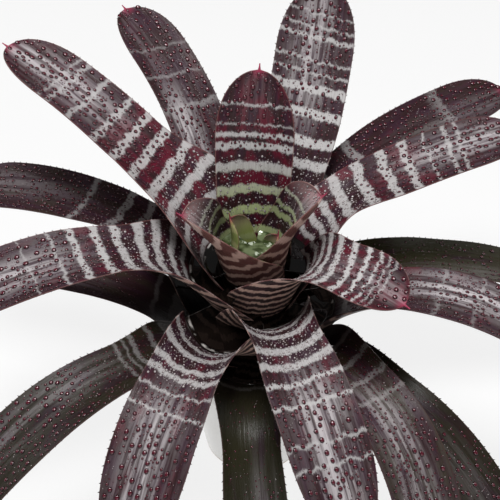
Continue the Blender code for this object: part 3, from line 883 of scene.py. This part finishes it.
def turned(profile):
    """Vertices and faces of a profile of (radius, height) points turned round Z. Its first and last points
    are on the axis, and it runs so that its outside is on its right."""
    ring = np.array(profile[1:-1])
    turn = 2 * pi * np.arange(TURN_STEPS) / TURN_STEPS
    rows = polar(ring[:, :1], turn, np.repeat(ring[:, 1:], TURN_STEPS, axis=1))
    poles = np.array([(0, 0, profile[0][1]), (0, 0, profile[-1][1])])
    index = np.arange(len(ring) * TURN_STEPS).reshape(len(ring), TURN_STEPS)
    after = np.roll(index, -1, axis=1)
    quads = np.stack([index[:-1], index[1:], after[1:], after[:-1]], axis=-1).reshape(-1, 4)
    first, last = index.size, index.size + 1
    fans = [(first, a, b) for a, b in zip(index[0], after[0])]
    fans += [(last, b, a) for a, b in zip(index[-1], after[-1])]
    return np.concatenate([rows.reshape(-1, 3), poles]), [*quads, *fans]


def make_pot():
    """The pot, with its drain holes bored through the floor."""
    inside_foot = wall_radius(POT_FLOOR) - POT_WALL
    inside_mouth = wall_radius(POT_HEIGHT) - POT_WALL
    profile = [(0, POT_FLOOR), (15 * MM, POT_FLOOR)]
    profile += arc(inside_foot - 4 * MM, POT_FLOOR + 4 * MM, 4 * MM, -90, 0)
    profile += arc(inside_mouth + RIM_ROUND, POT_HEIGHT - RIM_ROUND, RIM_ROUND, 180, 90)
    profile += arc(RIM_RADIUS - RIM_ROUND, POT_HEIGHT - RIM_ROUND, RIM_ROUND, 90, 0)
    profile += arc(RIM_RADIUS - RIM_ROUND, POT_HEIGHT - RIM_DEPTH + RIM_ROUND, RIM_ROUND, 0, -90)
    under_rim = POT_HEIGHT - RIM_DEPTH
    profile += [(wall_radius(h), h) for h in np.linspace(under_rim, 12 * MM, 12)]
    profile += arc(POT_FOOT_RADIUS - 2 * MM, 2 * MM, 2 * MM, 0, -90)
    profile += [(15 * MM, 0), (0, 0)]
    vertices, faces = turned(profile)
    pot = mesh_object("glazed_pot", vertices, faces, glaze_finish(), "pot")
    for k in range(DRAIN_HOLES):
        bore(pot, 2 * pi * (k + 0.5) / DRAIN_HOLES)


def bore(pot, turn):
    """Cuts one drain hole through the pot's floor and keeps the result as the pot's mesh."""
    bpy.ops.mesh.primitive_cylinder_add(vertices=32, radius=DRAIN_RADIUS, depth=4 * POT_FLOOR,
                                        location=(DRAIN_CIRCLE * cos(turn), DRAIN_CIRCLE * sin(turn), 0))
    cutter = bpy.context.object
    cut = pot.modifiers.new("Drain", "BOOLEAN")
    cut.object = cutter
    cut.solver = "EXACT"
    evaluated = pot.evaluated_get(bpy.context.evaluated_depsgraph_get())
    pot.data = bpy.data.meshes.new_from_object(evaluated)
    pot.modifiers.clear()
    bpy.data.objects.remove(cutter)


def make_mix(random):
    """Potting mix: its top is heaped in crumbs, a sum of random ripples, over the CAD's dome."""
    clear = POT_WALL + 0.3 * MM
    low = POT_FLOOR + 0.3 * MM
    rim = wall_radius(SOIL_TOP) - clear
    radii = np.linspace(rim, STEM_FOOT_RADIUS - 4 * MM, 46)
    profile = [(0, low), (30 * MM, low), (wall_radius(low) - clear - 4 * MM, low)]
    profile += [(wall_radius(low) - clear, low + 4 * MM)]
    heights = SOIL_TOP + SOIL_DOME * (1 - (radii / rim) ** 2)
    crown_row = len(profile) - 1
    profile += [(r, h) for r, h in zip(radii, heights)] + [(0, SOIL_TOP + SOIL_DOME)]
    vertices, faces = turned(profile)
    top = slice(crown_row * TURN_STEPS, (crown_row + len(radii)) * TURN_STEPS)
    at = vertices[top]
    waves = random.normal(0, 1, (40, 2)) * random.uniform(250, 1500, (40, 1))
    phases = random.uniform(0, 2 * pi, 40)
    crumbs = np.sin(at[:, :2] @ waves.T + phases).sum(axis=1) / 40 ** 0.5
    inner = np.clip((rim - np.hypot(at[:, 0], at[:, 1])) / (2 * MM), 0, 1)
    vertices[top, 2] += 0.7 * MM * crumbs * inner
    faces = [face[::-1] for face in faces]
    mesh_object("mix_heap", vertices, faces, mix_finish(), "potting_mix")


def make_bark(random):
    """Bark chips on the mix: slabs with eight to ten faces each, lying at all angles."""
    rim = wall_radius(SOIL_TOP) - POT_WALL - 5 * MM
    distance = np.sqrt(random.uniform((24 * MM) ** 2, rim ** 2, CHIPS))
    turn = random.uniform(0, 2 * pi, CHIPS)
    height = SOIL_TOP + SOIL_DOME * (1 - (distance / rim) ** 2) + random.uniform(0.2, 1.6, CHIPS) * MM
    centre = polar(distance, turn, height)
    corners = np.array([(x, y, z) for z in (-1, 1) for x, y in ((-1, -1), (1, -1), (1, 1), (-1, 1))], float)
    ends = np.array([(0, 0, -1.5), (0, 0, 1.5)])
    shape = np.concatenate([corners * [1, 0.6, 0.5], ends * [0, 0, 0.45]])
    shape = shape[None] * random.uniform(0.75, 1.25, (CHIPS, 10, 3))
    size = random.uniform(1.3, 3.4, (CHIPS, 1, 1)) * MM
    frames = np.linalg.qr(random.normal(0, 1, (CHIPS, 3, 3)) * [1, 1, 0.35])[0]
    frames *= np.sign(np.linalg.det(frames))[:, None, None]
    vertices = centre[:, None] + np.einsum("cij,ckj->cki", frames, shape * size)
    sides = [(0, 1, 5, 4), (1, 2, 6, 5), (2, 3, 7, 6), (3, 0, 4, 7)]
    caps = [(1, 0, 8), (2, 1, 8), (3, 2, 8), (0, 3, 8), (4, 5, 9), (5, 6, 9), (6, 7, 9), (7, 4, 9)]
    faces = [tuple(10 * chip + corner for corner in face) for chip in range(CHIPS) for face in sides + caps]
    piece = mesh_object("bark_chips", vertices.reshape(-1, 3), faces, bark_finish())
    piece.data.shade_flat()


def make_stem():
    """The short stem: a cone inside the leaf bases, ringed by old leaf scars, over a buried foot."""
    inset = BASE_THICK / 2 + 1.2 * MM
    oldest_radius, oldest_height = leaf_base(len(LEAVES) - 1)
    youngest_radius, youngest_height = leaf_base(0)
    side = np.linspace(1, 0, 40)
    scar = 0.35 * MM * np.sin(side * 40)
    radii = (youngest_radius - inset - 1 * MM + (oldest_radius - youngest_radius) * (1 - side)
             - 0.4 * MM + scar)
    heights = CROWN_HEIGHT + oldest_height + (youngest_height - oldest_height) * side
    profile = [(0, STEM_FOOT), (STEM_FOOT_RADIUS - 3 * MM, STEM_FOOT), (STEM_FOOT_RADIUS, STEM_FOOT + 3 * MM)]
    profile += [(STEM_FOOT_RADIUS, SOIL_TOP + SOIL_DOME + 1 * MM)]
    profile += list(zip(radii[::-1], heights[::-1]))
    profile += [(youngest_radius - inset - 6 * MM, CROWN_HEIGHT + youngest_height + 2 * MM)]
    profile += [(0, CROWN_HEIGHT + youngest_height + 4 * MM)]
    vertices, faces = turned(profile)
    faces = [face[::-1] for face in faces]
    mesh_object("stem_cork", vertices, faces, stem_finish(), "stem")


# ---------------------------------------------------------------- the setting

def make_floor():
    """A wide pale floor with a barely mottled matt finish."""
    finish = Finish("pale_floor", Roughness=0.9)
    cloud = finish.noise(finish.place(), 1.5, 2)
    finish.feed(Base_Color=finish.blend(cloud, (0.12, 0.12, 0.12, 1), (0.125, 0.125, 0.125, 1)))
    finish.shader.inputs["Emission Color"].default_value = (1, 1, 1, 1)
    finish.shader.inputs["Emission Strength"].default_value = FLOOR_GLOW
    mesh = bpy.data.meshes.new("floor")
    corners = [(-1, -1), (1, -1), (1, 1), (-1, 1)]
    mesh.from_pydata([(x * FLOOR_REACH, y * FLOOR_REACH, 0) for x, y in corners], [], [(0, 1, 2, 3)])
    mesh.materials.append(finish.material)
    floor = bpy.data.objects.new("floor", mesh)
    COLLECTION.objects.link(floor)


def aimed(thing, place, target):
    """Puts a lamp or the camera at a place, looking at the target."""
    thing.location = place
    thing.rotation_mode = "QUATERNION"
    thing.rotation_quaternion = (Vector(target) - Vector(place)).to_track_quat("-Z", "Y")


def soft_light(name, place, target, size, power):
    """A large square area lamp."""
    data = bpy.data.lights.new(name, "AREA")
    data.size = size
    data.energy = power
    lamp = bpy.data.objects.new(name, data)
    COLLECTION.objects.link(lamp)
    aimed(lamp, place, target)


def make_setting():
    """Camera, lights and sky."""
    data = bpy.data.cameras.new("camera")
    data.lens = CAMERA_LENS
    camera = bpy.data.objects.new("camera", data)
    COLLECTION.objects.link(camera)
    back = Vector((0, -cos(CAMERA_ELEVATION), sin(CAMERA_ELEVATION)))
    aimed(camera, CAMERA_TARGET + CAMERA_DISTANCE * back, CAMERA_TARGET)
    bpy.context.scene.camera = camera
    for name, place, size, power in LAMPS:
        soft_light(name, place, CAMERA_TARGET, size, power)
    world = bpy.data.worlds.new("sky")
    bpy.context.scene.world = world
    world.use_nodes = True
    background = world.node_tree.nodes["Background"]
    background.inputs["Color"].default_value = (1, 1, 1, 1)
    background.inputs["Strength"].default_value = SKY_STRENGTH
    bpy.context.scene.view_settings.view_transform = "Standard"
    make_floor()


chance = np.random.default_rng(11)
DEW = drop_finish()
make_pot()
make_mix(chance)
make_bark(chance)
make_stem()
for place_in_crown, (one_leaf, its_look) in enumerate(zip(LEAVES, LOOKS)):
    make_leaf(one_leaf, place_in_crown, its_look)
    if its_look.dew:
        dew(one_leaf, place_in_crown, its_look, chance)
TANK_WATER = tank_water_finish()
for leaf_with_water, water_level in POOLS:
    pool(f"water_{leaf_with_water + 1:02d}", (leaf_with_water,), water_level, TANK_WATER)
pool("water_heart", TANK_LEAVES, TANK_LEVEL, heart_water_finish())
make_setting()
